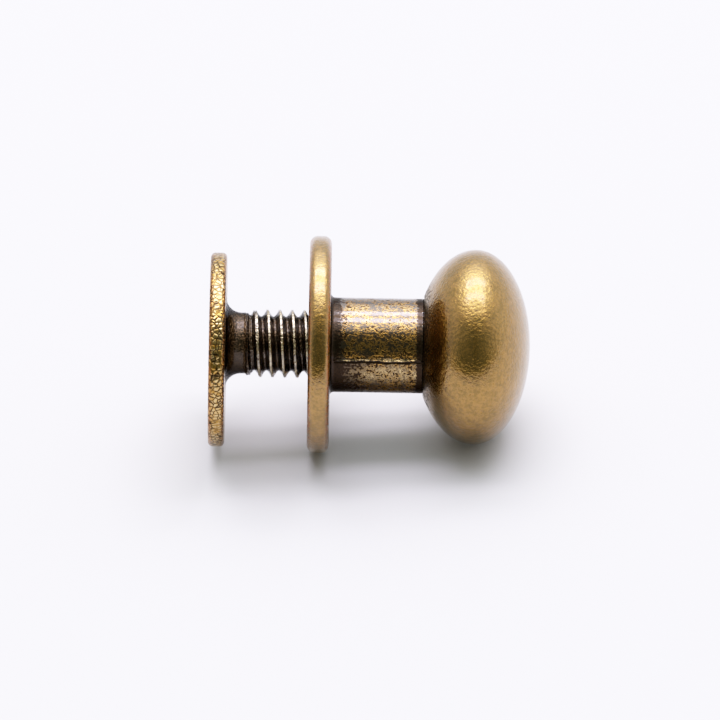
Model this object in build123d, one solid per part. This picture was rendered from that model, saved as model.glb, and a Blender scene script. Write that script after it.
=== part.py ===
from build123d import *
import math
import os

# Binding barrel screw of the button-stud type: a turned post with a flange, a barrel and a
# round knob, and a slotted flat-head screw that is run part of the way into it.
# Millimetres. +X runs along the common axis from the screw's head to the knob, and +Z is up
# as the pair lies on its side. The origin is on the axis, in the flange's clamp face.

# Post
FLANGE_DIAMETER = 11.2
FLANGE_THICKNESS = 1.14
FLANGE_RIM_CROWN = 0.34
BARREL_DIAMETER = 4.88
BARREL_LENGTH = 4.79
BARREL_ROOT_CHAMFER = 0.2
GROOVE_DEPTH = 0.34
GROOVE_WIDTH = 0.26
KNOB_DIAMETER = 10.03
KNOB_UNDERSIDE_RISE = 3.11
KNOB_UNDERSIDE_SHOULDER = 2.26
KNOB_DOME_RISE = 2.85
KNOB_DOME_SHOULDER = 1.94
KNOB_LIP_STEP = 0.14
KNOB_LIP_GAP = 0.02

# Thread, shared by both pieces: 3.5 mm across, 40 turns to the inch, right-handed
THREAD_DIAMETER = 3.5
THREAD_PITCH = 0.635
THREAD_DEPTH = 0.35
THREAD_CREST_WIDTH = 0.08
THREAD_BASE_WIDTH = 0.40
BORE_CLEARANCE = 0.05
BORE_END_CLEARANCE = 0.30
DRILL_POINT_ANGLE = 118

# Screw
HEAD_DIAMETER = 10.0
HEAD_THICKNESS = 0.83
HEAD_EDGE_CHAMFER = 0.2
HEAD_OFFSET = 0.42
SHANK_LENGTH = 5.5
PLAIN_NECK_LENGTH = 1.1
FLARE_RADIUS = 0.8
TIP_CHAMFER = 0.25
SLOT_LENGTH = 6.0
SLOT_WIDTH = 0.9
SLOT_DEPTH = 0.4

# How far the screw stands out of the post: the room for leather between head and flange
GRIP_GAP = 4.25

flange_radius = FLANGE_DIAMETER / 2
barrel_radius = BARREL_DIAMETER / 2
knob_radius = KNOB_DIAMETER / 2
crest_radius = THREAD_DIAMETER / 2
root_radius = crest_radius - THREAD_DEPTH
bore_radius = crest_radius + BORE_CLEARANCE
bore_depth = SHANK_LENGTH + BORE_END_CLEARANCE
# The thread is rolled up out of a blank whose radius lies between its root and its crest.
neck_radius = (root_radius + crest_radius) / 2
flare_base_radius = neck_radius + FLARE_RADIUS
head_face = -GRIP_GAP
shank_tip = head_face + SHANK_LENGTH
thread_start = head_face + PLAIN_NECK_LENGTH


def turned(outline):
    """The solid that a closed outline of (x, radius) curves makes when turned about X."""
    return revolve(Plane.XZ * make_face(outline), Axis.X)


def oval_half(rise, shoulder, end_radius):
    """Half of the knob's oval, from its equator at x = 0 to end_radius near the axis.

    A shoulder arc at the equator runs smoothly into a flatter arc centred on the axis. The
    half with a negative rise faces the flange.
    """
    side = math.copysign(1, rise)
    offset = knob_radius - shoulder
    flat = (rise**2 + offset**2 - shoulder**2) / (2 * (abs(rise) - shoulder))
    join = math.atan2(offset, flat - abs(rise))
    end = math.asin(end_radius / flat)
    shoulder_points = [
        (side * shoulder * math.cos(angle), offset + shoulder * math.sin(angle))
        for angle in (math.pi / 2, (math.pi / 2 + join) / 2, join)
    ]
    flat_points = [
        (side * (abs(rise) - flat + flat * math.cos(angle)), flat * math.sin(angle))
        for angle in (join, (join + end) / 2, end)
    ]
    return [ThreePointArc(*shoulder_points), ThreePointArc(*flat_points)]


def post_outline():
    """The post as one lathe profile: clamp face, outside to the knob's crown, blind bore."""
    back, root = FLANGE_THICKNESS, BARREL_ROOT_CHAMFER
    rim = flange_radius - FLANGE_RIM_CROWN
    barrel_end = back + BARREL_LENGTH
    groove = (barrel_end + GROOVE_WIDTH, barrel_radius - GROOVE_DEPTH)
    lip = (barrel_end + KNOB_LIP_GAP, barrel_radius + KNOB_LIP_STEP)
    underside = oval_half(-KNOB_UNDERSIDE_RISE, KNOB_UNDERSIDE_SHOULDER, lip[1])
    dome = oval_half(KNOB_DOME_RISE, KNOB_DOME_SHOULDER, 0)
    equator = lip[0] - (underside[-1] @ 1).X
    crown = (equator + KNOB_DOME_RISE, 0)
    drill_point = (bore_depth + bore_radius / math.tan(math.radians(DRILL_POINT_ANGLE / 2)), 0)
    # The mouth is opened out so that the flare under the screw's head goes in when it is shut.
    mouth = (0, flare_base_radius + BORE_CLEARANCE)
    mouth_end = (FLARE_RADIUS + BORE_CLEARANCE, bore_radius)
    return [
        Line(mouth, (0, rim)),
        ThreePointArc((0, rim), (back / 2, flange_radius), (back, rim)),
        Line((back, rim), (back, barrel_radius + root)),
        Line((back, barrel_radius + root), (back + root, barrel_radius)),
        Line((back + root, barrel_radius), (barrel_end, barrel_radius)),
        Line((barrel_end, barrel_radius), groove),
        Line(groove, lip),
        *(Pos(equator, 0, 0) * arc for arc in underside + dome),
        Line(crown, drill_point),
        Line(drill_point, (bore_depth, bore_radius)),
        Line((bore_depth, bore_radius), mouth_end),
        Line(mouth_end, mouth),
    ]


def post():
    return turned(post_outline())


def shank_outline():
    """The screw below its head: the cove that flares into the head, the neck, the core."""
    flare_end = head_face + FLARE_RADIUS
    inside_head = head_face - HEAD_THICKNESS / 2
    return [
        Line((inside_head, 0), (inside_head, flare_base_radius)),
        Line((inside_head, flare_base_radius), (head_face, flare_base_radius)),
        RadiusArc((head_face, flare_base_radius), (flare_end, neck_radius), -FLARE_RADIUS),
        Line((flare_end, neck_radius), (thread_start, neck_radius)),
        Line((thread_start, neck_radius), (thread_start + THREAD_DEPTH, root_radius)),
        Line((thread_start + THREAD_DEPTH, root_radius), (shank_tip, root_radius)),
        Line((shank_tip, root_radius), (shank_tip, 0)),
        Line((shank_tip, 0), (inside_head, 0)),
    ]


def thread_envelope():
    """What the thread is trimmed to: it runs out at the neck and is chamfered at the tip."""
    corners = [
        (thread_start, 0),
        (thread_start, neck_radius),
        (thread_start + THREAD_PITCH, crest_radius),
        (shank_tip - TIP_CHAMFER, crest_radius),
        (shank_tip, crest_radius - TIP_CHAMFER),
        (shank_tip, 0),
    ]
    return turned(Polyline(*corners, close=True))


def thread_turns():
    """The thread, one turn at a time: a trapezoid carried round a helix on the core.

    Its foot is sunk in the core and its crest stands proud of the envelope that trims it.
    """
    sink = THREAD_DEPTH / 4
    rise = THREAD_DEPTH * 9 / 8
    flank = (THREAD_BASE_WIDTH - THREAD_CREST_WIDTH) / 2 / THREAD_DEPTH
    foot = THREAD_BASE_WIDTH / 2 + flank * sink
    crest = THREAD_CREST_WIDTH / 2 - flank * (rise - THREAD_DEPTH)
    start = thread_start - THREAD_PITCH
    path = Helix(
        THREAD_PITCH, THREAD_PITCH, root_radius, center=(start, 0, 0), direction=(1, 0, 0)
    )
    outward = path @ 0 - Vector(start, 0, 0)
    section = Plane(origin=path @ 0, x_dir=outward, z_dir=path % 0)
    corners = [(-sink, -foot), (rise, -crest), (rise, crest), (-sink, foot)]
    turn = sweep(section * make_face(Polyline(*corners, close=True)), path=path, is_frenet=True)
    count = math.ceil((shank_tip - start) / THREAD_PITCH) + 1
    envelope = thread_envelope()
    trimmed = [Pos(i * THREAD_PITCH, 0, 0) * turn & envelope for i in range(count)]
    return [solid for piece in trimmed if piece for solid in piece.solids()]


def head():
    """The flat disc, a little off the shank's axis as it was struck, with its blind slot."""
    disc = Cylinder(HEAD_DIAMETER / 2, HEAD_THICKNESS)
    disc = chamfer(disc.edges().filter_by(GeomType.CIRCLE), HEAD_EDGE_CHAMFER)
    slot = extrude(SlotOverall(SLOT_LENGTH, SLOT_WIDTH), SLOT_DEPTH)
    disc -= Pos(0, 0, HEAD_THICKNESS / 2 - SLOT_DEPTH) * slot
    outward = Plane(origin=(head_face - HEAD_THICKNESS / 2, 0, -HEAD_OFFSET), z_dir=(-1, 0, 0))
    return outward * disc


def screw():
    shank = turned(shank_outline())
    return head() + shank.fuse(*thread_turns())


os.makedirs("parts", exist_ok=True)
for name, piece in {"post": post(), "screw": screw()}.items():
    export_step(piece, f"parts/{name}.step")
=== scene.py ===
import math
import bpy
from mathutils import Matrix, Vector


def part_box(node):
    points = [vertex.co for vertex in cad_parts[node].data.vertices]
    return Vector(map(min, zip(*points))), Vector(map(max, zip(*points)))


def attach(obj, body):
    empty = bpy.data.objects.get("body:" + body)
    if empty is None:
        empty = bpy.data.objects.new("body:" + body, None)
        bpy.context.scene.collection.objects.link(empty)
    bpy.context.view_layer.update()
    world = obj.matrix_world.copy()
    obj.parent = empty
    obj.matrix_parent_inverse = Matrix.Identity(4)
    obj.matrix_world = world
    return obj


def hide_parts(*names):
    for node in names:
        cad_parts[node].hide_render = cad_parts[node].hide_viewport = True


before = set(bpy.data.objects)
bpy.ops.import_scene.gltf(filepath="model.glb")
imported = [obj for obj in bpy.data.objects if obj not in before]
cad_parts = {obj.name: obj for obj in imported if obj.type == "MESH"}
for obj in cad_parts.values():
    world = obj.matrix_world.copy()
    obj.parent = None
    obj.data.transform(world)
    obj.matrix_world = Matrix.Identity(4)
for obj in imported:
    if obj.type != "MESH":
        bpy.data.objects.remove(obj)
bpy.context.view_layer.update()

from types import SimpleNamespace

import bpy
import numpy as np
from mathutils import Matrix

bl_info = {
    "name": "Binding Barrel Screw",
    "version": (1, 0, 0),
    "blender": (4, 5, 0),
    "location": "View3D > Sidebar > Binding Screw",
    "description": "Draws an antique brass binding screw: a knobbed post and its slotted screw",
    "category": "Object",
}

# Shapes are worked out in millimetres and angles in radians; Blender takes metres.
MM = 0.001

# The imported frame, in metres: the boxes of its two nodes.
POST_LOW, POST_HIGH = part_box("post")
SCREW_LOW, SCREW_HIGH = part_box("screw")
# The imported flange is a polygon, so the round one takes its smallest half width.
POST_WIDTH = 2 * min(POST_HIGH.y, POST_HIGH.z, -POST_LOW.y, -POST_LOW.z)
# The screw's head is its widest part, so the middle of its box is where the head sits.
HEAD_DROP = -(SCREW_HIGH.z + SCREW_LOW.z) / 2

# Rings are this many points round, so that the widest disc still has points 0.1 mm apart.
POST_SIDES = 400
SCREW_SIDES = 288
# Points nearer to each other than this, in metres, are one point.
WELD = 1e-8
# Two places or radii this close, in millimetres, are the same one.
SAME = 1e-6
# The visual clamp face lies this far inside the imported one, so that the closed head rests
# on it without cutting in.
CLAMP_SINK = 0.01
# Height of a drill's point over its radius, for the usual 118 degree drill.
DRILL_POINT = 0.6

# Where round the barrel its parting seam runs, how far to each side closer points follow
# it, and how many.
SEAM_ANGLE = math.radians(166.3)
SEAM_BAND = math.radians(2.6)
SEAM_POINTS = 12
# The die leaves two low rings where it first bites: how far on, how high and how wide.
DIE_RINGS = ((0.14, 0.05, 0.045), (0.42, 0.035, 0.04))
# Where along X a crest of the thread crosses the side that faces +Y.
CREST_AT = -0.32
# Length of shank between two rings of the thread.
THREAD_STEP = 0.02


# ---------------------------------------------------------------- lines and surfaces


def straight(start, end, steps):
    """Points, or rings, on a line from start up to, and without, its end.

    start + t (end - start), with t from 0 to 1.
    """
    start, end = np.asarray(start, float), np.asarray(end, float)
    t = (np.arange(steps) / steps).reshape(-1, *[1] * start.ndim)
    return (1 - t) * start + t * end


def elliptic(centre, reach, height, from_degrees, to_degrees, steps):
    """Points on an ellipse, without the last: centre + (reach cos a, height sin a)."""
    a = np.radians(from_degrees + (to_degrees - from_degrees) * np.arange(steps) / steps)
    return np.stack([centre[0] + reach * np.cos(a), centre[1] + height * np.sin(a)], 1)


def hump(distance, width):
    """A smooth hump, 1 at distance 0 and under 0.02 past twice the width: exp(-(d / w)^2)."""
    return np.exp(-((distance / width) ** 2))


def ramp(distance, width):
    """0 up to distance 0, then a straight rise to 1 at the width: d / w, held in 0 to 1."""
    return np.clip(distance / width, 0, 1)


def turned(x, radius, angles, drop=0.0):
    """Rings about the X axis, lowered by drop: (x, radius cos a, radius sin a - drop)."""
    x, radius, angles = np.broadcast_arrays(x, radius, angles)
    return np.stack([x, radius * np.cos(angles), radius * np.sin(angles) - drop], -1)


def turned_profile(profile, angles, drop=0.0):
    """Rings of a profile of (x, radius) points turned about the X axis."""
    return turned(profile[:, :1], profile[:, 1:], angles, drop)


def slot_loop(reach, half_width, sides):
    """A slot's outline as (y, z) points, evenly spaced, from the middle of its +Y side.

    A line that reaches as far both ways along Z, with every point pushed out by half the
    width: a straight side, then a half circle (w cos a, w sin a) about the line's end, then
    both again turned half way round. With no width the loop is the line, there and back.
    """
    run, arc = 2 * reach, math.pi * half_width
    along = run / 2 + 2 * (run + arc) * np.arange(sides) / sides
    side = np.where(along // (run + arc) % 2 == 0, 1.0, -1.0)
    along = along % (run + arc)
    a = np.maximum(along - run, 0) / (half_width or 1.0)
    y = half_width * np.cos(a)
    z = np.minimum(along, run) - run / 2 + half_width * np.sin(a)
    return np.stack([side * y, side * z], 1)


def welded(places):
    """Which points stay and, for every point, the new number of the one it falls on."""
    keys = np.round(places / WELD).astype(np.int64)
    _, stays, group = np.unique(keys, axis=0, return_index=True, return_inverse=True)
    return stays, group.reshape(-1)


def closed_faces(quads, slots):
    """The quads, then those with two corners on one point as triangles; empty ones go."""
    twice = quads == np.roll(quads, 1, axis=1)
    doubled = twice.sum(1)
    three = quads[doubled == 1][~twice[doubled == 1]].reshape(-1, 3)
    faces = quads[doubled == 0].tolist() + three.tolist()
    return faces, np.concatenate([slots[doubled == 0], slots[doubled == 1]]).astype(np.int32)


def piece_from_rings(name, rings, attributes, slot_of_ring, materials):
    """One closed piece from a stack of rings, each joined to the next by quads.

    rings is (rings, sides, 3) in millimetres. The first and last ring are single points or
    flattened loops, so their double points are welded and the surface has no hole.
    """
    ring_count, sides, _ = rings.shape
    index = np.arange(ring_count * sides).reshape(ring_count, sides)
    beside = np.roll(index, -1, axis=1)
    quads = np.stack([index[:-1], beside[:-1], beside[1:], index[1:]], 2).reshape(-1, 4)
    places = rings.reshape(-1, 3) * MM
    # The volume that the faces enclose is negative where they face inwards.
    a, b, c, d = (places[quads[:, corner]] for corner in range(4))
    if np.sum(a * (np.cross(b, c) + np.cross(c, d))) < 0:
        quads = quads[:, ::-1]
    stays, number = welded(places)
    faces, slots = closed_faces(number[quads], np.repeat(slot_of_ring[:-1], sides))
    mesh = bpy.data.meshes.new(name)
    mesh.from_pydata(places[stays], [], faces)
    for label, values in attributes.items():
        layer = mesh.attributes.new(label, "FLOAT", "POINT")
        layer.data.foreach_set("value", np.asarray(values, np.float32).reshape(-1)[stays])
    for material in materials:
        mesh.materials.append(material)
    mesh.polygons.foreach_set("material_index", slots)
    mesh.polygons.foreach_set("use_smooth", np.ones(len(mesh.polygons), bool))
    mesh.update()
    piece = bpy.data.objects.new(name, mesh)
    bpy.context.scene.collection.objects.link(piece)
    return piece


# ---------------------------------------------------------------- settings


def linear(hex_colour):
    """An sRGB hex colour as linear red, green, blue and alpha."""
    parts = [int(hex_colour[i:i + 2], 16) / 255 for i in (1, 3, 5)]
    curve = [c / 12.92 if c <= 0.04045 else ((c + 0.055) / 1.055) ** 2.4 for c in parts]
    return (*curve, 1.0)


def length(name, description, millimetres):
    """A size in metres that is shown as a length."""
    return bpy.props.FloatProperty(
        name=name, description=description, default=millimetres * MM, min=0.0,
        unit="LENGTH", subtype="DISTANCE",
    )


def colour(name, description, hex_colour):
    """A colour that is picked as red, green, blue and alpha."""
    return bpy.props.FloatVectorProperty(
        name=name, description=description, default=linear(hex_colour), size=4,
        min=0.0, max=1.0, subtype="COLOR",
    )


def brightness(name, description, value):
    """How bright a light or a part of the room looks, with 1 for plain white."""
    return bpy.props.FloatProperty(
        name=name, description=description, default=value, min=0.0)


def in_millimetres(sizes):
    """All of a group's lengths in millimetres, under their own names."""
    return SimpleNamespace(**{key: getattr(sizes, key) / MM for key in sizes.__annotations__})


class PostSizes(bpy.types.PropertyGroup):
    """Sizes of the turned post."""

    flange_diameter: length("Flange diameter", "Across the flange", POST_WIDTH / MM)
    flange_thickness: length("Flange thickness", "Clamp face to strap face", 1.14)
    rim_round: length("Rim round", "Radius of the flange's two edges", 0.42)
    root_round: length("Root round", "Fillet between the flange and the barrel", 0.22)
    barrel_diameter: length("Barrel diameter", "Across the barrel", 4.88)
    barrel_end: length("Barrel end", "Clamp face to the groove at the knob", 5.93)
    groove_depth: length("Groove depth", "Barrel's surface to the deepest ring", 0.34)
    groove_width: length("Groove width", "Barrel's end to the deepest ring", 0.26)
    lip_step: length("Lip step", "How far the knob's lip stands above the barrel", 0.14)
    knob_diameter: length("Knob diameter", "Across the knob's equator", 10.03)
    equator: length("Knob equator", "Clamp face to the knob's widest ring", 8.60)
    underside: length("Knob underside", "Half length of the oval that faces the barrel", 3.11)
    bore_diameter: length("Bore diameter", "Across the blind hole", 3.6)
    bore_depth: length("Bore depth", "Clamp face to where the drill's point begins", 5.8)
    mouth_diameter: length("Mouth diameter", "Across the opened mouth of the hole", 4.85)
    mouth_depth: length("Mouth depth", "Clamp face to where the mouth meets the bore", 0.85)


class ScrewSizes(bpy.types.PropertyGroup):
    """Sizes of the slotted screw."""

    head_diameter: length("Head diameter", "Across the flat head", 10.0)
    head_thickness: length("Head thickness", "Outer face to seat", 0.83)
    head_drop: length("Head offset", "How far the head sits off the shank's axis",
                      HEAD_DROP / MM)
    edge_round: length("Edge round", "Radius of the head's two edges", 0.24)
    flare: length("Neck flare", "Radius of the cove that widens into the head", 0.8)
    neck_length: length("Neck length", "Seat to the start of the thread", 0.98)
    thread_diameter: length("Thread diameter", "Across the crests", 3.5)
    thread_pitch: length("Thread pitch", "Crest to crest", 0.635)
    thread_depth: length("Thread depth", "Root to crest", 0.35)
    tip_chamfer: length("Tip chamfer", "Size of the bevel at the shank's end", 0.25)
    slot_length: length("Slot length", "Length of the driving slot", 6.0)
    slot_width: length("Slot width", "Width of the driving slot", 0.9)
    slot_depth: length("Slot depth", "Depth of the driving slot", 0.4)


class FinishColours(bpy.types.PropertyGroup):
    """Colours of the antique plating, of what shows where it is worn, of the painted shade and
    highlight on it, and of the table.
    """

    satin: colour("Satin brass", "The plated faces", "#77591F")
    rubbed: colour("Rubbed brass", "Plated faces that handling has brightened", "#986F31")
    gold: colour("Gold brass", "The raised pebbles on the barrel and the head's rim", "#AB7B30")
    # Pale brass is also painted highlight on the barrel's seam, pebbles and corner.
    pale_and_glint: colour("Pale brass", "The barrel's seam, and the tops of the rim's pebbles",
                 "#CFAE74")
    umber: colour("Umber brass", "The barrel's plate where it has darkened", "#38260F")
    # The dark oxide colour also fills the painted shade on the barrel and at the knob's foot.
    patina_and_shade: colour("Patina", "The dark oxide in hollows", "#271B10")
    bronze: colour("Brown oxide", "The thin glossy oxide on the thread", "#6A5C4F")
    # The bare crest colour is partly painted highlight.
    bare_and_glint: colour("Bare crest", "Where the thread is rubbed down to the metal", "#DCC9A0")
    soot: colour("Black oxide", "The dull oxide on the neck and in the thread", "#382B1C")
    copper: colour("Copper edge", "Where the plating is thin on an edge", "#8C4E16")
    floor: colour("Table", "The pale table top", "#C2C3C5")


class StageSettings(bpy.types.PropertyGroup):
    """Camera and lights."""

    elevation: bpy.props.FloatProperty(
        name="Camera height", description="Angle of the view above the table",
        default=math.radians(33), subtype="ANGLE", unit="ROTATION",
    )
    roll: bpy.props.FloatProperty(
        name="Camera roll", description="How far the axis drops to the right in the view",
        default=math.radians(1.0), subtype="ANGLE", unit="ROTATION",
    )
    view_width: length("View width", "What the view takes in at the object", 37.11)
    distance: length("Camera distance", "Lens to object", 600.0)
    strip_glow: brightness("Strip lights", "Brightness of the two overhead strips", 14.4)
    room_light: brightness("Room light", "Brightness behind the part", 1.75)
    halo_light: brightness("Halo light", "Brightness of the ceiling round the strips", 4.4)
    front_light: brightness("Front light", "Brightness of the viewer's dark side", 0.25)
    shoulder: bpy.props.FloatProperty(
        name="Shoulder", description="How strongly bright tones are held back, as on film",
        default=0.88, min=0.01, max=0.99,
    )


# ---------------------------------------------------------------- materials


def add(tree, kind, inputs=None, **settings):
    """Adds a node, sets its properties, and gives its inputs a value or a link each."""
    node = tree.nodes.new(kind)
    for key, value in settings.items():
        setattr(node, key, value)
    for key, value in (inputs or {}).items():
        socket = node.inputs[key]
        if isinstance(value, bpy.types.Node):
            value = next(output for output in value.outputs if output.enabled)
        if isinstance(value, bpy.types.NodeSocket):
            tree.links.new(value, socket)
        else:
            socket.default_value = value
    return node


def new_material(name):
    """A material and its empty node tree."""
    material = bpy.data.materials.new(name)
    material.use_nodes = True
    material.node_tree.nodes.clear()
    return material, material.node_tree


def per_metre(millimetres):
    """Texture scale at which a pattern's cells are this many millimetres across."""
    return 1000.0 / millimetres


def antique_brass(name, plate, worn, oxide, edge, *, mottle, speck, threshold, spread,
                  roughness, dent, pit, contrast=0.15, dulled=0.2, drawn=1.0, crazing=0.0,
                  film=0.35, dark_film=0.0, film_roughness=0.2, film_ior=1.5, limb=0.85):
    """Plated brass, darkened with oxide and rubbed back; metallic, so its colour is its gloss.

    plate and worn are the two colours of its mottling, oxide that of its dark specks and of
    painted shade, and edge that of edges where the copper attribute says the plate is thin, and
    of the painted highlights that the attribute also marks.
    mottle, speck and crazing are the sizes in millimetres of the slow mottling, of the fine
    specks and of the plates between crazing lines; drawn stretches them along the axis.
    contrast is how far the two noises swing between plate and worn: less is harder.
    The finest grain of such plate is near 0.05 mm, too fine to show, so a speck is drawn as
    coarse as it needs to show.
    A speck shows where the noises, raised by the attribute of oxide and painted shade, pass the
    threshold, and it fades out over the spread. A dark speck is rougher by what dulled says.
    dent and pit are the heights in millimetres of the slow and the fine unevenness.
    film, film_roughness and film_ior are the clear lacquer's; it is as strong as dark_film
    over oxide, and worn off where the matt attribute says. limb is how bright the metal is
    seen edge on.
    """
    material, tree = new_material(name)
    place = add(tree, "ShaderNodeMapping", {
        "Vector": add(tree, "ShaderNodeTexCoord").outputs["Object"],
        "Scale": (1.0 / drawn, 1.0, 1.0)})
    # Oxide, and on the post also painted shade.
    patina_and_shade = add(tree, "ShaderNodeAttribute", attribute_name="patina_and_shade").outputs["Fac"]
    # Thin plate on edges, and on the barrel and the thread also painted highlight.
    copper = add(tree, "ShaderNodeAttribute", attribute_name="copper").outputs["Fac"]
    matt = add(tree, "ShaderNodeAttribute", attribute_name="matt").outputs["Fac"]
    slow = add(tree, "ShaderNodeTexNoise", {
        "Vector": place, "Scale": per_metre(mottle), "Detail": 4.0, "Roughness": 0.6})
    fine = add(tree, "ShaderNodeTexNoise", {
        "Vector": place, "Scale": per_metre(speck), "Detail": 2.0, "Roughness": 0.6})
    # Noise stays near its middle, so it is stretched before it mixes two colours.
    both = add(tree, "ShaderNodeMath", {0: slow, 1: fine}, operation="ADD")
    tone = add(tree, "ShaderNodeMapRange", {
        "Value": both, "From Min": 1.0 - contrast, "From Max": 1.0 + contrast})
    mottled = add(tree, "ShaderNodeMix", {"Factor": tone, "A": plate, "B": worn},
                  data_type="RGBA")
    # Thin plate has chipped off an edge in flakes of the speck's size.
    chipped = add(tree, "ShaderNodeMapRange", {
        "Value": fine, "From Min": 0.44, "From Max": 0.54, "To Min": 0.2})
    chips = add(tree, "ShaderNodeMath", {0: copper, 1: chipped}, operation="MULTIPLY")
    edged = add(tree, "ShaderNodeMix", {"Factor": chips, "A": mottled, "B": edge},
                data_type="RGBA")
    # Specks gather in patches: the slow mottling moves their threshold.
    patchy = add(tree, "ShaderNodeMath", {0: slow, 1: 0.6, 2: fine}, operation="MULTIPLY_ADD")
    raised = add(tree, "ShaderNodeMath", {0: patchy, 1: patina_and_shade}, operation="ADD")
    dark = add(tree, "ShaderNodeMapRange", {
        "Value": raised, "From Min": threshold - spread, "From Max": threshold + spread},
        interpolation_type="SMOOTHSTEP")
    height = add(tree, "ShaderNodeMath", {0: 1.0, 1: fine}, operation="SUBTRACT")
    if crazing:
        # Plates with domed tops and dark lines between them, some of the lines unbroken.
        cell = add(tree, "ShaderNodeTexVoronoi", {
            "Vector": place, "Scale": per_metre(crazing), "Randomness": 1.0},
            feature="DISTANCE_TO_EDGE")
        crack = add(tree, "ShaderNodeMapRange", {
            "Value": cell, "From Min": 0.02, "From Max": 0.17, "To Min": 1.0, "To Max": 0.0},
            interpolation_type="SMOOTHSTEP")
        open_here = add(tree, "ShaderNodeMapRange", {
            "Value": slow, "From Min": 0.30, "From Max": 0.48})
        line = add(tree, "ShaderNodeMath", {0: crack, 1: open_here}, operation="MULTIPLY")
        dark = add(tree, "ShaderNodeMath", {0: dark, 1: line}, operation="MAXIMUM")
        height = add(tree, "ShaderNodeMapRange", {"Value": cell, "From Max": 0.35},
                     interpolation_type="SMOOTHSTEP")
    shown = add(tree, "ShaderNodeMix", {"Factor": dark, "A": edged, "B": oxide},
                data_type="RGBA")
    dull = add(tree, "ShaderNodeMapRange", {
        "Value": dark, "To Min": roughness, "To Max": roughness + dulled})
    # An edge rubbed down to the metal is scratched, so it catches light from every side.
    rough = add(tree, "ShaderNodeMath", {0: chips, 1: 0.14, 2: dull}, operation="MULTIPLY_ADD")
    glossy = add(tree, "ShaderNodeMapRange", {
        "Value": dark, "To Min": film, "To Max": dark_film})
    kept = add(tree, "ShaderNodeMath", {0: 1.0, 1: matt}, operation="SUBTRACT")
    lacquer = add(tree, "ShaderNodeMath", {0: glossy, 1: kept}, operation="MULTIPLY")
    dents = add(tree, "ShaderNodeBump", {
        "Height": slow, "Strength": 1.0, "Distance": dent * MM})
    relief = add(tree, "ShaderNodeBump", {
        "Height": height, "Strength": 1.0, "Distance": pit * MM, "Normal": dents})
    # The clear film evens out most of the fine relief.
    skin = add(tree, "ShaderNodeBump", {
        "Height": height, "Strength": 1.0, "Distance": 0.12 * pit * MM, "Normal": dents})
    # Seen edge on, the metal's shine is a little warm.
    shader = add(tree, "ShaderNodeBsdfPrincipled", {
        "Base Color": shown, "Metallic": 1.0, "Roughness": rough, "Normal": relief,
        "Coat Weight": lacquer, "Coat Roughness": film_roughness, "Coat IOR": film_ior,
        "Coat Normal": skin, "Specular Tint": (limb, 0.95 * limb, 0.85 * limb, 1.0)})
    add(tree, "ShaderNodeOutputMaterial", {"Surface": shader})
    return material


def post_materials(c):
    """The post's materials, in the order of its slots: knob, flange, barrel, groove."""
    return [
        # Tumbled satin plate: soft wide highlights with ragged edges, and few specks.
        antique_brass(
            "satin_plated_brass_knob", c.satin, c.rubbed, c.patina_and_shade, c.copper,
            mottle=0.4, speck=0.15, threshold=1.07, spread=0.12, roughness=0.21,
            dent=0.018, pit=0.030, contrast=0.18,
            film=0.55, film_roughness=0.12, film_ior=1.55),
        # The same plate on a flat disc: slower mottling, and a paler shine under more film.
        antique_brass(
            "satin_plated_brass_flange", c.satin, c.rubbed, c.patina_and_shade, c.copper,
            mottle=0.6, speck=0.16, threshold=1.06, spread=0.10, roughness=0.24,
            dent=0.016, pit=0.030, contrast=0.16,
            film=0.65, film_roughness=0.14, film_ior=1.6),
        # Turned and left dark: a pebbled skin that glints beside the highlight, under a hard
        # clear film that shows the strip lights as two white lines. Its pale seam, pebble tops
        # and corner are partly painted highlight, and its dark ground below the seam partly
        # painted shade.
        antique_brass(
            "pebbled_turned_brass_barrel", c.umber, c.gold, c.patina_and_shade, c.pale_and_glint,
            mottle=0.42, speck=0.12, threshold=0.89, spread=0.06, roughness=0.10,
            dent=0.004, pit=0.034, contrast=0.05, drawn=1.2, limb=0.4,
            film=1.0, dark_film=0.15, film_roughness=0.04, film_ior=1.68),
        # Oxide that no rubbing reaches: dark and dull, with hardly a highlight.
        antique_brass(
            "dark_oxide_groove", c.umber, c.umber, c.patina_and_shade, c.copper,
            mottle=0.5, speck=0.13, threshold=0.70, spread=0.08, roughness=0.3,
            dent=0.006, pit=0.006, limb=0.3),
    ]


def screw_materials(c):
    """The screw's materials, in the order of its slots: faces, shank, rim."""
    return [
        # Flat satin faces: broad soft clouds of plate, and a stray speck here and there.
        antique_brass(
            "satin_plated_brass_head", c.satin, c.rubbed, c.patina_and_shade, c.copper,
            mottle=0.8, speck=0.18, threshold=1.04, spread=0.10, roughness=0.24,
            dent=0.010, pit=0.012),
        # Rolled thread under a glossy black oxide, bright where the crests rub; their pale bare
        # colour is partly painted highlight.
        antique_brass(
            "black_oxide_thread", c.bronze, c.bronze, c.soot, c.bare_and_glint,
            mottle=0.3, speck=0.12, threshold=1.10, spread=0.14, roughness=0.10,
            dent=0.012, pit=0.075, dulled=0.04, limb=0.15,
            film=1.0, dark_film=0.15, film_roughness=0.05, film_ior=1.9),
        # Blanked rim whose plate has crazed: bright pebbles with dark lines between.
        antique_brass(
            "crackled_brass_rim", c.gold, c.pale_and_glint, c.patina_and_shade, c.copper,
            mottle=0.7, speck=0.14, threshold=1.04, spread=0.08, roughness=0.11,
            dent=0.010, pit=0.019, crazing=0.23),
    ]


# ---------------------------------------------------------------- post


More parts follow.
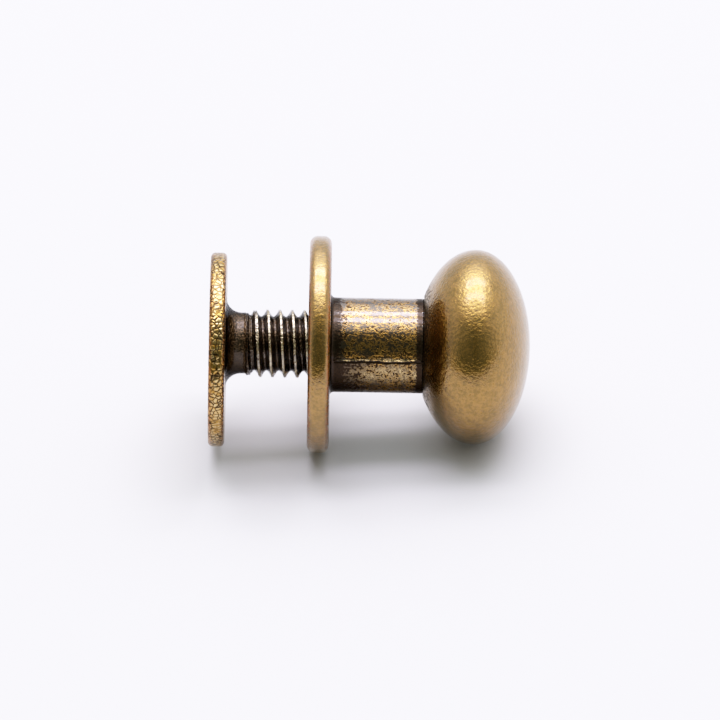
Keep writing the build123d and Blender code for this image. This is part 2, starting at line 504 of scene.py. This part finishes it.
def post_profile(s):
    """Outline of the post as (x, radius) points, and the zone that each point is in.

    From the drill's point in the bore round to the knob's crown: straight runs joined by
    quarter rounds, then half an oval of two quarter ellipses that share the equator.
    """
    flange, barrel, knob = s.flange_diameter / 2, s.barrel_diameter / 2, s.knob_diameter / 2
    bore, mouth, thick, rim = (
        s.bore_diameter / 2, s.mouth_diameter / 2, s.flange_thickness, s.rim_round)
    root, corner = thick + s.root_round, 0.05
    groove = (s.barrel_end + s.groove_width, barrel - s.groove_depth)
    # The knob's lip is where its inner ellipse comes down to the lip's radius.
    lip = barrel + s.lip_step
    lip_degrees = math.degrees(math.asin(lip / knob))
    lip_x = s.equator - s.underside * math.cos(math.asin(lip / knob))
    crown = POST_HIGH.x / MM
    # The mouth's edge is broken by a small bevel.
    bevel = ((CLAMP_SINK + 0.04, mouth - 0.02), (CLAMP_SINK, mouth + 0.03))
    parts = (
        ("bore", straight((s.bore_depth + bore * DRILL_POINT, 0), (s.bore_depth, bore), 3)),
        ("bore", straight((s.bore_depth, bore), (s.mouth_depth, bore), 8)),
        ("bore", straight((s.mouth_depth, bore), bevel[0], 5)),
        ("flange", straight(*bevel, 2)),
        ("flange", straight(bevel[1], (CLAMP_SINK, flange - rim), 12)),
        ("rim", elliptic((rim, flange - rim), rim - CLAMP_SINK, rim, 180, 90, 10)),
        ("rim", straight((rim, flange), (thick - rim, flange), 4)),
        ("rim", elliptic((thick - rim, flange - rim), rim, rim, 90, 0, 10)),
        ("flange", straight((thick, flange - rim), (thick, barrel + s.root_round), 12)),
        ("barrel", elliptic((root, barrel + s.root_round), s.root_round, s.root_round,
                            180, 270, 6)),
        ("barrel", straight((root, barrel), (s.barrel_end - corner, barrel), 40)),
        ("barrel", elliptic((s.barrel_end - corner, barrel - corner), corner, corner,
                            90, 20, 3)),
        ("groove", straight((s.barrel_end, barrel - 0.04), groove, 5)),
        ("groove", straight(groove, (lip_x, lip - 0.03), 6)),
        ("knob", elliptic((s.equator, 0), s.underside, knob, 180 - lip_degrees, 90, 50)),
        ("knob", elliptic((s.equator, 0), crown - s.equator, knob, 90, 0, 54)),
        ("knob", np.array([[crown, 0.0]])),
    )
    profile = np.concatenate([points for _, points in parts])
    zones = np.concatenate([[zone] * len(points) for zone, points in parts])
    return profile, zones


def post_angles():
    """Angles of the points round the post: even, but close together at the parting seam.

    One even row from the band's one edge to its other, and one from just past the band,
    round to just before it.
    """
    near = np.linspace(-SEAM_BAND, SEAM_BAND, SEAM_POINTS)
    past = SEAM_BAND + math.radians(0.6)
    far = np.linspace(past, 2 * math.pi - past, POST_SIDES - SEAM_POINTS)
    return SEAM_ANGLE + np.concatenate([near, far])


def post_wear(s, x, radius, zone, turn, off_seam, on_barrel):
    """The patina, copper and matt attributes of the post's points, each 0 to about 1; the first
    also holds painted shade and the second painted highlight.

    Sums of smooth humps, in millimetres, of the place along the axis, x, and of off_seam,
    which is how far past the seam a point of the barrel lies, and in radians of the turn.
    """
    # Oxide gathers in the bore and the groove, at both ends of the barrel and on the strap
    # face. Round the knob's foot the darkening is partly oxide and partly painted shade, where
    # the knob's underside mirrors the dark barrel.
    ends = hump(x - s.flange_thickness, 0.5) + hump(x - s.barrel_end + 0.16, 0.14)
    foot = hump(x - s.barrel_end, 0.45)
    strap_face = 0.3 * (x > s.flange_thickness / 2)
    patina_and_shade = np.select(
        [zone == "bore", zone == "groove", zone == "barrel", zone == "knob", zone == "flange"],
        [0.35, 0.3, 0.42 * ends, 0.35 * foot, strap_face], 0.0)
    # Below the seam the barrel is darker: a little darker plate all along, and painted shade
    # that deepens toward the flange and underneath, where the barrel mirrors the table in the
    # part's shadow.
    below = ramp(turn, 0.05) * (turn < 2.2)
    dull = below * (0.04 + 0.12 * hump(x - 1.9, 1.0) + 0.08 * hump(turn - 1.3, 0.3))
    # A patch above the seam is darker too, and painted shadow darkens a line along under the
    # seam's ridge.
    patch = 0.2 * hump(turn + 0.22, 0.2) * ramp(4.6 - x, 1.6)
    patina_and_shade = patina_and_shade + np.where(on_barrel, dull + patch + 0.3 * hump(off_seam - 0.075, 0.05), 0)
    # Copper shows on the flange where its two edges start to turn over.
    edges = hump(x - 0.07, 0.08) + hump(x - (s.flange_thickness - 0.07), 0.08)
    edges = edges * (radius > s.flange_diameter / 2 - 0.45)
    # Bare metal shows along the seam's ridge, wider toward the knob, on the tops of the pebbles
    # below it, and on the barrel's corner at the groove: partly real rubbing, and partly
    # painted highlight where the ridge, the pebbles and the corner catch the light.
    right = ramp(x - 3.0, 0.5)
    line = hump(off_seam + 0.01, 0.045) * (1.6 - 0.9 * right)
    line = line + 0.9 * hump(off_seam + 0.11, 0.08) * right
    line = line + 0.9 * hump(off_seam - 0.75, 0.5) * ramp(x - 1.8, 0.8)
    line = np.where(on_barrel, np.clip(line, 0, 1.6), 0)
    corner = 0.6 * hump(x - s.barrel_end + 0.01, 0.03) * (zone == "barrel")
    copper = np.maximum(np.clip(1.2 * edges, 0, 1), np.maximum(line, corner))
    # The clear film has worn off below the seam.
    matt = np.where(on_barrel, 0.7 * below, 0.0)
    return {"patina_and_shade": patina_and_shade, "copper": copper, "matt": matt}


def build_post(sizes, colours):
    """The post: its outline turned about the axis, with a raised seam along the barrel."""
    s = in_millimetres(sizes)
    profile, zones = post_profile(s)
    angles = post_angles()
    x, radius, zone = profile[:, :1], profile[:, 1:], zones[:, None]
    turn, barrel = angles - SEAM_ANGLE, s.barrel_diameter / 2
    on_barrel = (zone == "barrel") & (np.abs(radius - barrel) < SAME)
    # The seam is a low wandering ridge with a fine step under it: a high hump less a low one
    # of the distance round the barrel, which two sine waves along the axis sway.
    sway = 0.02 * np.sin(2.6 * x) + 0.012 * np.sin(7.1 * x + 1)
    off_seam = turn * barrel + sway
    ridge = 0.05 * hump(off_seam, 0.04) - 0.03 * hump(off_seam - 0.07, 0.04)
    rings = turned(x, radius + np.where(on_barrel, ridge, 0), angles)
    wear = post_wear(s, x, radius, zone, turn, off_seam, on_barrel)
    slots = {"knob": 0, "flange": 1, "rim": 1, "barrel": 2, "groove": 3, "bore": 3}
    return piece_from_rings("post_body", rings, wear, np.array([slots[z] for z in zones]),
                            post_materials(colours))


# ---------------------------------------------------------------- screw


def thread_radius(x, angle, s, start, tip):
    """Radius of the threaded shank at x and angle.

    A wave of the phase x / pitch - angle / turn with flat crests and rounded roots, held
    between the core, which steps down from the plain neck, and a cone that fades the first
    turn in and bevels the tip.
    """
    pitch, crest = s.thread_pitch, s.thread_diameter / 2
    root = crest - s.thread_depth
    neck = (root + crest) / 2
    # A crest's half width, how round the roots are, the step's length and the first height.
    half_flat, rounding, step, shallow = 0.055, 1.8, 0.45, neck + 0.02
    phase = (x - CREST_AT) / pitch - angle / (2 * math.pi)
    off = np.abs(phase - np.round(phase)) * pitch
    flank = ramp(pitch / 2 - off, pitch / 2 - half_flat)
    wave = root + s.thread_depth * flank ** rounding
    core = neck + (root - neck) * ramp(x - start, step)
    fade = shallow + (crest - shallow) * ramp(x - start, 1.3 * pitch)
    bevel = crest - np.clip(x - (tip - s.tip_chamfer), 0, 1)
    rings = sum(high * hump(x - start - at, wide) for at, high, wide in DIE_RINGS)
    return np.minimum(np.maximum(core, np.minimum(wave, fade)) + rings, bevel)


def slot_rings(s, outer, floor):
    """Rings of the driving slot, from the middle line of its floor up to its worn lips."""
    half = s.slot_width / 2
    steps = (
        (floor, 0), (floor, 0.4 * half), (floor, 0.8 * half), (floor, 0.96 * half),
        (floor - 0.03, half), (outer + 0.04, half), (outer + 0.012, half + 0.012),
        (outer, half + 0.04),
    )
    loops = [slot_loop(s.slot_length / 2 - half, half_width, SCREW_SIDES)
             for _, half_width in steps]
    return np.stack([
        np.column_stack([np.full(SCREW_SIDES, x), loop[:, 0], loop[:, 1] - s.head_drop])
        for (x, _), loop in zip(steps, loops)])


def screw_wear(s, rings, outer, seat, floor):
    """The patina and copper attributes of the screw's points, each 0 to about 1; the copper one
    also marks the crests' painted highlight.

    Smooth humps and ramps, in millimetres, of the place along the axis and the distance
    from it, or from the head's own middle.
    """
    crest, head, start = s.thread_diameter / 2, s.head_diameter / 2, seat + s.neck_length
    x = rings[:, :, 0]
    from_axis = np.hypot(rings[:, :, 1], rings[:, :, 2])
    from_head = np.hypot(rings[:, :, 1], rings[:, :, 2] + s.head_drop)
    on_shank = x > seat + SAME
    # The neck and the thread's roots are black; the oxide thins toward the crests.
    high = ramp(from_axis - (crest - s.thread_depth), s.thread_depth)
    black = 0.9 - (0.40 + 0.29 * high) * ramp(x - start, 0.2)
    # On the seat it gathers round the neck, and on the outer face inside the slot.
    round_neck = hump(from_axis - (crest - s.thread_depth / 2 + s.flare), 0.45)
    on_seat = np.abs(x - seat) < SAME
    in_slot = (x < floor + 0.01) & (x > outer + 0.05) & (from_head < s.slot_length / 2 + 0.2)
    patina_and_shade = np.where(on_shank, black, 0.28 * on_seat * round_neck) + 0.3 * in_slot
    # Bare metal shows on the crests and on the first die ring, in a pale colour that is partly
    # painted highlight for the glints they catch.
    crown = ramp(from_axis - (crest - 0.065), 0.04) * (x > start + 0.1)
    crown = np.maximum(crown, on_shank * hump(x - start - DIE_RINGS[0][0], 0.05))
    # Copper shows on both edges of the head.
    edges = hump(x - (outer + 0.07), 0.1) + hump(x - (seat - 0.06), 0.07)
    edges = np.where(from_head > head - 0.3, np.clip(1.2 * edges, 0, 1), 0)
    return {"patina_and_shade": patina_and_shade, "copper": np.where(on_shank, crown, edges)}


def build_screw(sizes, colours):
    """The screw: rings that go from the slot's floor over the head and along the shank.

    Slot loops melt into circles across the outer face, circles about the head's own middle
    into circles about the shank's axis across the seat, and the shank's rings follow the
    thread's radius.
    """
    s = in_millimetres(sizes)
    angles = 2 * math.pi * np.arange(SCREW_SIDES) / SCREW_SIDES
    outer, tip = SCREW_LOW.x / MM, SCREW_HIGH.x / MM
    seat, floor = outer + s.head_thickness, outer + s.slot_depth
    start = seat + s.neck_length
    head, edge, flare = s.head_diameter / 2, s.edge_round, s.flare
    neck = (s.thread_diameter - s.thread_depth) / 2
    slot = slot_rings(s, outer, floor)
    rim = turned_profile(np.concatenate([
        elliptic((outer + edge, head - edge), edge, edge, 180, 90, 8),
        straight((outer + edge, head), (seat - edge, head), 6),
        elliptic((seat - edge, head - edge), edge, edge, 90, 0, 8),
    ]), angles, s.head_drop)
    seat_face = straight(turned(seat, head - edge, angles, s.head_drop),
                         turned(seat, neck + flare, angles), 11)
    shank = turned_profile(np.concatenate([
        elliptic((seat + flare, neck + flare), flare, flare, 180, 270, 14),
        straight((seat + flare, neck), (start, neck), 5),
    ]), angles)
    x = straight([start], [tip], round((tip - start) / THREAD_STEP))
    # The thread's rings stop short of the tip, and three that shrink to the axis close it.
    end = thread_radius(tip, angles, s, start, tip) * np.array([[1.0], [0.6], [0.0]])
    rings = np.concatenate([
        slot, straight(slot[-1], rim[0], 13)[1:], rim, seat_face, shank,
        turned(x, thread_radius(x, angles, s, start, tip), angles),
        turned(tip, end, angles),
    ])
    # Slot 0 is the two faces, 1 the shank, and 2 the rim between the faces' rounds.
    middle = rings[:, :, 0].mean(1)
    from_head = np.hypot(rings[:, :, 1], rings[:, :, 2] + s.head_drop).mean(1)
    slots = np.select([middle > seat + 0.001, from_head > head - edge + 0.001], [1, 2], 0)
    return piece_from_rings("screw_body", rings, screw_wear(s, rings, outer, seat, floor),
                            slots, screw_materials(colours))


# ---------------------------------------------------------------- stage


# Half the table top's width, in metres.
TABLE_HALF = 1.5
# The part's flange end is before this place along the axis, and its knob end past it.
MID_BARREL = 3.0
# The camera looks at this place along the axis, and at this far under the axis, both in
# millimetres. Its sensor's width is too.
AIM_X, AIM_UNDER = 2.67, 0.77
SENSOR_WIDTH = 36.0
# The strips hang over the part, long ways along X: name, place along Y and width, metres.
STRIPS = (("front_strip", 0.058, 0.095), ("back_strip", 0.256, 0.125))
STRIP_LENGTH, STRIP_HEIGHT = 0.48, 0.5
# Linear light colours: the strips are a little violet, the room plain, and what little comes
# from the viewer's side is warm, which turns the dark brass olive.
STRIP_TINT = (1.0, 0.9, 1.12)
ROOM_TINT = (0.97, 0.97, 1.0, 1.0)
FRONT_TINT = (0.95, 1.08, 0.75, 1.0)
# Toward the middle of the glow on the ceiling.
HALO_WAY = (0.0, 0.342, 0.940)


def table_line(profile):
    """Height and slope of the table that the flange and the knob both touch.

    The highest points of the profile's two halves above a line through them, found a few
    times over with the line's own slope.
    """
    on_flange = profile[:, 0] < MID_BARREL
    slope = 0.0
    for _ in range(8):
        lift = profile[:, 1] - slope * profile[:, 0]
        flange = profile[np.argmax(np.where(on_flange, lift, -np.inf))]
        knob = profile[np.argmax(np.where(on_flange, -np.inf, lift))]
        slope = (knob[1] - flange[1]) / (knob[0] - flange[0])
    return -(flange[1] - slope * flange[0]), -slope


def build_table(post_sizes, colours):
    """A plain pale table top that the post lies on, on its flange and its knob."""
    profile, _ = post_profile(in_millimetres(post_sizes))
    height, slope = table_line(profile)
    tilt = math.atan(slope)
    along = TABLE_HALF * np.array([math.cos(tilt), 0, math.sin(tilt)])
    across = np.array([0, TABLE_HALF, 0])
    middle = np.array([0, 0, height * MM])
    corners = [middle + a * along + b * across for a, b in ((-1, -1), (1, -1), (1, 1), (-1, 1))]
    mesh = bpy.data.meshes.new("table_top")
    mesh.from_pydata(corners, [], [(0, 1, 2, 3)])
    material, tree = new_material("matt_white_table")
    # Painted shade: the table top's colour darkens to half far in front of the part, standing
    # in for light that falls off there.
    place = add(tree, "ShaderNodeSeparateXYZ", {
        "Vector": add(tree, "ShaderNodeTexCoord").outputs["Object"]})
    painted_falloff = add(tree, "ShaderNodeMapRange", {
        "Value": place.outputs["Y"], "From Min": -0.14, "From Max": -0.035,
        "To Min": 0.5, "To Max": 0.0}, interpolation_type="SMOOTHSTEP")
    shade = add(tree, "ShaderNodeMix", {
        "Factor": painted_falloff, "A": colours.floor, "B": linear("#000000")}, data_type="RGBA")
    shader = add(tree, "ShaderNodeBsdfPrincipled", {
        "Base Color": shade, "Roughness": 0.6, "Specular IOR Level": 0.2})
    add(tree, "ShaderNodeOutputMaterial", {"Surface": shader})
    mesh.materials.append(material)
    table = bpy.data.objects.new("table_top", mesh)
    bpy.context.scene.collection.objects.link(table)


def build_camera(settings):
    """A camera in front of the part and above it, rolled so that the axis drops a little."""
    e, roll = settings.elevation, settings.roll
    back = np.array([0, -math.cos(e), math.sin(e)])
    level, steep = np.array([1.0, 0, 0]), np.array([0, math.sin(e), math.cos(e)])
    right = math.cos(roll) * level + math.sin(roll) * steep
    up = math.cos(roll) * steep - math.sin(roll) * level
    aim = np.array([AIM_X, 0, 0]) * MM - AIM_UNDER * MM * up
    matrix = np.eye(4)
    matrix[:3] = np.column_stack([right, up, back, aim + back * settings.distance])
    data = bpy.data.cameras.new("camera")
    data.sensor_width = SENSOR_WIDTH
    data.lens = SENSOR_WIDTH * settings.distance / settings.view_width
    data.clip_start, data.clip_end = 0.01, 10.0
    camera = bpy.data.objects.new("camera", data)
    camera.matrix_world = Matrix(matrix.tolist())
    bpy.context.scene.collection.objects.link(camera)
    bpy.context.scene.camera = camera


def build_strips(glow):
    """Two long strips overhead, seen in the barrel as two bright lines with a gap between."""
    for name, y, width in STRIPS:
        light = bpy.data.lights.new(name, "AREA")
        light.shape = "RECTANGLE"
        light.size, light.size_y = STRIP_LENGTH, width
        light.color = STRIP_TINT
        light.energy = glow * math.pi * light.size * light.size_y
        lamp = bpy.data.objects.new(name, light)
        lamp.location = (0.0, y, STRIP_HEIGHT)
        bpy.context.scene.collection.objects.link(lamp)


def build_room(settings):
    """A room that is bright behind the part and dark where the viewer stands."""
    world = bpy.data.worlds.new("studio")
    world.use_nodes = True
    tree = world.node_tree
    tree.nodes.clear()
    around = add(tree, "ShaderNodeTexCoord").outputs["Generated"]
    way = add(tree, "ShaderNodeSeparateXYZ", {"Vector": around})
    behind = add(tree, "ShaderNodeMapRange", {
        "Value": way.outputs["Y"], "From Min": -0.85, "From Max": 0.30,
        "To Min": settings.front_light, "To Max": settings.room_light},
        interpolation_type="SMOOTHSTEP")
    # The right side is a little brighter than the left.
    side = add(tree, "ShaderNodeMapRange", {
        "Value": way.outputs["X"], "From Min": -1.0, "From Max": 1.0,
        "To Min": 0.84, "To Max": 1.18})
    # The viewer stands in the dark side and makes its middle darker still.
    away = add(tree, "ShaderNodeMapRange", {
        "Value": way.outputs["Y"], "From Min": -0.85, "From Max": -0.20})
    aside = add(tree, "ShaderNodeMath", {0: way.outputs["X"]}, operation="ABSOLUTE")
    viewer = add(tree, "ShaderNodeMapRange", {
        "Value": aside, "From Min": 0.03, "From Max": 0.14, "To Min": 0.5, "To Max": 1.0},
        interpolation_type="SMOOTHSTEP")
    clear = add(tree, "ShaderNodeMath", {0: viewer, 1: away}, operation="MAXIMUM")
    sides = add(tree, "ShaderNodeMath", {0: side, 1: clear}, operation="MULTIPLY")
    room = add(tree, "ShaderNodeMath", {0: behind, 1: sides}, operation="MULTIPLY")
    # The ceiling glows round the strips, most of all a little behind the part.
    toward = add(tree, "ShaderNodeVectorMath", {0: around, 1: HALO_WAY},
                 operation="DOT_PRODUCT").outputs["Value"]
    halo = add(tree, "ShaderNodeMapRange", {
        "Value": toward, "From Min": 0.65, "From Max": 1.0,
        "To Min": 0.0, "To Max": settings.halo_light}, interpolation_type="SMOOTHSTEP")
    sky = add(tree, "ShaderNodeMath", {0: room, 1: halo}, operation="ADD")
    light = add(tree, "ShaderNodeMix", {
        "Factor": away, "A": FRONT_TINT, "B": ROOM_TINT}, data_type="RGBA")
    background = add(tree, "ShaderNodeBackground", {"Color": light, "Strength": sky})
    add(tree, "ShaderNodeOutputWorld", {"Surface": background})
    bpy.context.scene.world = world


def film_tones(view, shoulder):
    """Plain display colours after a film's soft shoulder, which holds back bright tones.

    (1 - exp(-shoulder light)) / shoulder, as a curve through a few points, from no light to
    what the film shows as white.
    """
    view.view_transform = "Standard"
    view.use_curve_mapping = True
    brightest = -math.log(1 - shoulder) / shoulder
    mapping = view.curve_mapping
    mapping.white_level = (brightest,) * 3
    combined = mapping.curves[3].points
    for part in (0.06, 0.14, 0.26, 0.42, 0.65):
        light = part * brightest
        combined.new(part, (1 - math.exp(-shoulder * light)) / shoulder)
    mapping.update()


# ---------------------------------------------------------------- operators and panel


class OBJECT_OT_binding_post(bpy.types.Operator):
    """Draw the post: flange, barrel and knob"""

    bl_idname = "object.binding_post"
    bl_label = "Post"

    def execute(self, context):
        scene = context.scene
        piece = build_post(scene.binding_post, scene.binding_finish)
        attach(piece, "post")
        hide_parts("post")
        return {"FINISHED"}


class OBJECT_OT_binding_screw(bpy.types.Operator):
    """Draw the slotted screw"""

    bl_idname = "object.binding_screw"
    bl_label = "Screw"

    def execute(self, context):
        scene = context.scene
        piece = build_screw(scene.binding_screw, scene.binding_finish)
        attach(piece, "screw")
        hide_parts("screw")
        return {"FINISHED"}


class OBJECT_OT_binding_stage(bpy.types.Operator):
    """Set the table, the camera and the lights"""

    bl_idname = "object.binding_stage"
    bl_label = "Stage"

    def execute(self, context):
        scene = context.scene
        settings = scene.binding_stage
        build_table(scene.binding_post, scene.binding_finish)
        build_camera(settings)
        build_strips(settings.strip_glow)
        build_room(settings)
        film_tones(scene.view_settings, settings.shoulder)
        return {"FINISHED"}


class VIEW3D_PT_binding_screw(bpy.types.Panel):
    """Lists the colours, and each piece with its settings"""

    bl_idname = "VIEW3D_PT_binding_screw"
    bl_label = "Binding Screw"
    bl_space_type = "VIEW_3D"
    bl_region_type = "UI"
    bl_category = "Binding Screw"

    def draw(self, context):
        for key, group in GROUPS.items():
            box = self.layout.box()
            for setting in group.__annotations__:
                box.prop(getattr(context.scene, key), setting)
            if key in STEPS:
                box.operator(STEPS[key])


GROUPS = {
    "binding_finish": FinishColours,
    "binding_post": PostSizes,
    "binding_screw": ScrewSizes,
    "binding_stage": StageSettings,
}
# The operators in the order they run, under the settings that they read.
STEPS = {
    "binding_post": OBJECT_OT_binding_post.bl_idname,
    "binding_screw": OBJECT_OT_binding_screw.bl_idname,
    "binding_stage": OBJECT_OT_binding_stage.bl_idname,
}
CLASSES = (
    *GROUPS.values(),
    OBJECT_OT_binding_post,
    OBJECT_OT_binding_screw,
    OBJECT_OT_binding_stage,
    VIEW3D_PT_binding_screw,
)


def register():
    """Registers the classes, and hangs each group of settings on the scene."""
    for cls in CLASSES:
        bpy.utils.register_class(cls)
    for key, group in GROUPS.items():
        setattr(bpy.types.Scene, key, bpy.props.PointerProperty(type=group))


def unregister():
    """Takes the settings off the scene, and the classes off Blender's list."""
    for key in GROUPS:
        delattr(bpy.types.Scene, key)
    for cls in reversed(CLASSES):
        bpy.utils.unregister_class(cls)


def main():
    register()
    bpy.ops.object.binding_post()
    bpy.ops.object.binding_screw()
    bpy.ops.object.binding_stage()


if __name__ == "__main__":
    main()
